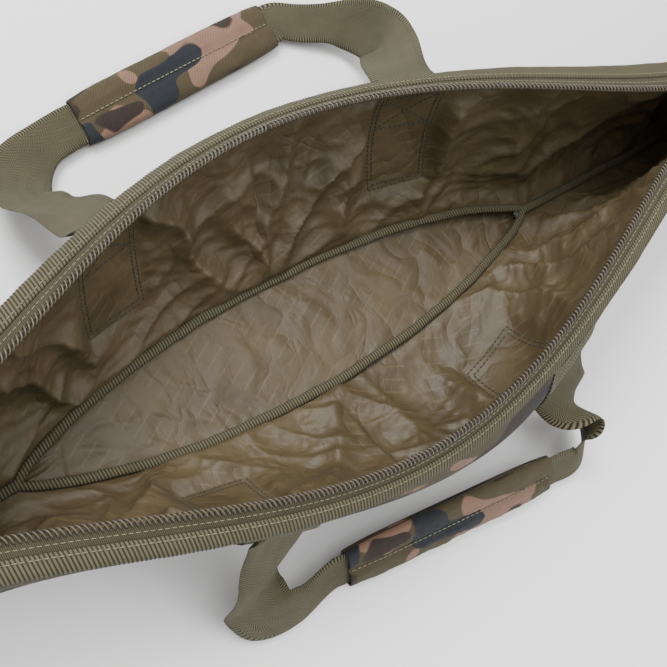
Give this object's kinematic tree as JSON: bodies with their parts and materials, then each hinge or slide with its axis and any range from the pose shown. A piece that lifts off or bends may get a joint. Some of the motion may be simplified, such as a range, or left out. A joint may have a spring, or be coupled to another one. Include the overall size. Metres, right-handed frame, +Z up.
{
  "type": "soft fishing rod case",
  "caption": "Long soft fabric rod case, unzipped over its reel bay, with folding mouth walls, padded carry handles and zip sliders.",
  "frame": {"origin": "centre of the reel gusset's under face, on the surface the case stands on, below the middle of the mouth", "axes": "+X along the case towards the rod tips, +Y across towards the far wall, +Z up"},
  "size_m": [1.4806, 0.4107, 0.135],
  "materials": {
    "camo_fabric": "matte camouflage print on coarse twill weave",
    "foam": "matte closed-cell foam",
    "lining": "shiny crumpled nylon",
    "binding": "ribbed grosgrain",
    "webbing": "chevron-woven webbing",
    "zip_tape": "matte woven tape",
    "zip_coil": "satin nylon coil",
    "dark_metal": "satin gunmetal"
  },
  "bodies": {
    "base": {"near_butt_sleeve": "camo_fabric", "near_butt_sleeve_lining": "lining", "near_butt_zip": "zip_tape", "near_tip_sleeve": "camo_fabric", "near_tip_sleeve_lining": "lining", "near_tip_zip": "zip_tape", "near_gusset_seam_binding": "binding", "far_butt_sleeve": "camo_fabric", "far_butt_sleeve_lining": "lining", "far_butt_zip": "zip_tape", "far_tip_sleeve": "camo_fabric", "far_tip_sleeve_lining": "lining", "far_tip_zip": "zip_tape", "far_gusset_seam_binding": "binding", "butt_end_panel": "camo_fabric", "butt_seam_binding": "binding", "butt_ring_tab": "webbing", "tip_end_panel": "camo_fabric", "tip_seam_binding": "binding", "tip_ring_tab": "webbing", "reel_gusset_shell": "camo_fabric", "reel_gusset_foam": "foam", "reel_gusset_lining": "lining"},
    "near_wall": {"near_wall_lining": "lining", "near_wall_foam": "foam", "near_wall_shell": "camo_fabric", "near_mouth_binding": "binding", "near_mouth_zip_tape": "zip_tape", "near_mouth_zip_coil": "zip_coil", "near_handle_anchor_butt": "webbing", "near_handle_anchor_tip": "webbing"},
    "near_butt_side": {"near_butt_gore": "camo_fabric", "near_butt_gore_zip": "zip_tape"},
    "near_tip_side": {"near_tip_gore": "camo_fabric", "near_tip_gore_zip": "zip_tape"},
    "near_handle": {"near_handle_webbing": "webbing", "near_handle_grip_cover": "camo_fabric", "near_handle_grip_pad": "foam"},
    "far_wall": {"far_wall_lining": "lining", "far_wall_foam": "foam", "far_wall_shell": "camo_fabric", "far_mouth_binding": "binding", "far_mouth_zip_tape": "zip_tape", "far_mouth_zip_coil": "zip_coil", "far_handle_anchor_butt": "webbing", "far_handle_anchor_tip": "webbing"},
    "far_butt_side": {"far_butt_gore": "camo_fabric", "far_butt_gore_zip": "zip_tape"},
    "far_tip_side": {"far_tip_gore": "camo_fabric", "far_tip_gore_zip": "zip_tape"},
    "far_handle": {"far_handle_webbing": "webbing", "far_handle_grip_cover": "camo_fabric", "far_handle_grip_pad": "foam"},
    "butt_slider": {"butt_zip_slider": "dark_metal"},
    "butt_puller": {"butt_zip_puller": "dark_metal"},
    "butt_ring": {"butt_d_ring": "dark_metal"},
    "tip_slider": {"tip_zip_slider": "dark_metal"},
    "tip_puller": {"tip_zip_puller": "dark_metal"},
    "tip_ring": {"tip_d_ring": "dark_metal"}
  },
  "joints": [
    {"name": "near_wall_fold", "type": "hinge", "parent": "base", "child": "near_wall", "pos_m": [0, -0.043, 0.003], "axis": [-1, 0, 0], "range_deg": [0, 46]},
    {"name": "near_butt_side_fold", "type": "hinge", "parent": "base", "child": "near_butt_side", "pos_m": [-0.215, -0.043, 0.003], "axis": [-1, 0, 0], "range_deg": [0, 22.08]},
    {"name": "near_tip_side_fold", "type": "hinge", "parent": "base", "child": "near_tip_side", "pos_m": [0.215, -0.043, 0.003], "axis": [-1, 0, 0], "range_deg": [0, 22.08]},
    {"name": "far_wall_fold", "type": "hinge", "parent": "base", "child": "far_wall", "pos_m": [0, 0.043, 0.003], "axis": [1, 0, 0], "range_deg": [0, 46]},
    {"name": "far_butt_side_fold", "type": "hinge", "parent": "base", "child": "far_butt_side", "pos_m": [-0.215, 0.043, 0.003], "axis": [1, 0, 0], "range_deg": [0, 22.08]},
    {"name": "far_tip_side_fold", "type": "hinge", "parent": "base", "child": "far_tip_side", "pos_m": [0.215, 0.043, 0.003], "axis": [1, 0, 0], "range_deg": [0, 22.08]},
    {"name": "near_handle_swing", "type": "hinge", "parent": "near_wall", "child": "near_handle", "pos_m": [0, -0.11711, 0.09158], "axis": [-1, 0, 0], "range_deg": [0, 105]},
    {"name": "far_handle_swing", "type": "hinge", "parent": "far_wall", "child": "far_handle", "pos_m": [0, 0.11711, 0.09158], "axis": [1, 0, 0], "range_deg": [0, 105]},
    {"name": "butt_slider_travel", "type": "slide", "parent": "base", "child": "butt_slider", "axis": [1, 0, 0], "range_m": [0, 0.337]},
    {"name": "butt_puller_flip", "type": "hinge", "parent": "butt_slider", "child": "butt_puller", "pos_m": [-0.35, 0, 0.1311], "axis": [0, 1, 0], "range_deg": [0, 100]},
    {"name": "butt_ring_swing", "type": "hinge", "parent": "base", "child": "butt_ring", "pos_m": [-0.5285, 0, 0.096], "axis": [0, 1, 0], "range_deg": [0, 120]},
    {"name": "tip_slider_travel", "type": "slide", "parent": "base", "child": "tip_slider", "axis": [-1, 0, 0], "range_m": [0, 0.337]},
    {"name": "tip_puller_flip", "type": "hinge", "parent": "tip_slider", "child": "tip_puller", "pos_m": [0.35, 0, 0.1311], "axis": [0, -1, 0], "range_deg": [0, 100]},
    {"name": "tip_ring_swing", "type": "hinge", "parent": "base", "child": "tip_ring", "pos_m": [0.9425, 0, 0.096], "axis": [0, -1, 0], "range_deg": [0, 120]}
  ],
  "couplings": [
    {"joint": "far_wall_fold", "follows": "near_wall_fold", "ratio": 1},
    {"joint": "near_butt_side_fold", "follows": "near_wall_fold", "ratio": 0.48},
    {"joint": "near_tip_side_fold", "follows": "near_wall_fold", "ratio": 0.48},
    {"joint": "far_butt_side_fold", "follows": "near_wall_fold", "ratio": 0.48},
    {"joint": "far_tip_side_fold", "follows": "near_wall_fold", "ratio": 0.48},
    {"joint": "butt_slider_travel", "follows": "near_wall_fold", "m_per_rad": 0.41975},
    {"joint": "tip_slider_travel", "follows": "near_wall_fold", "m_per_rad": 0.41975}
  ]
}
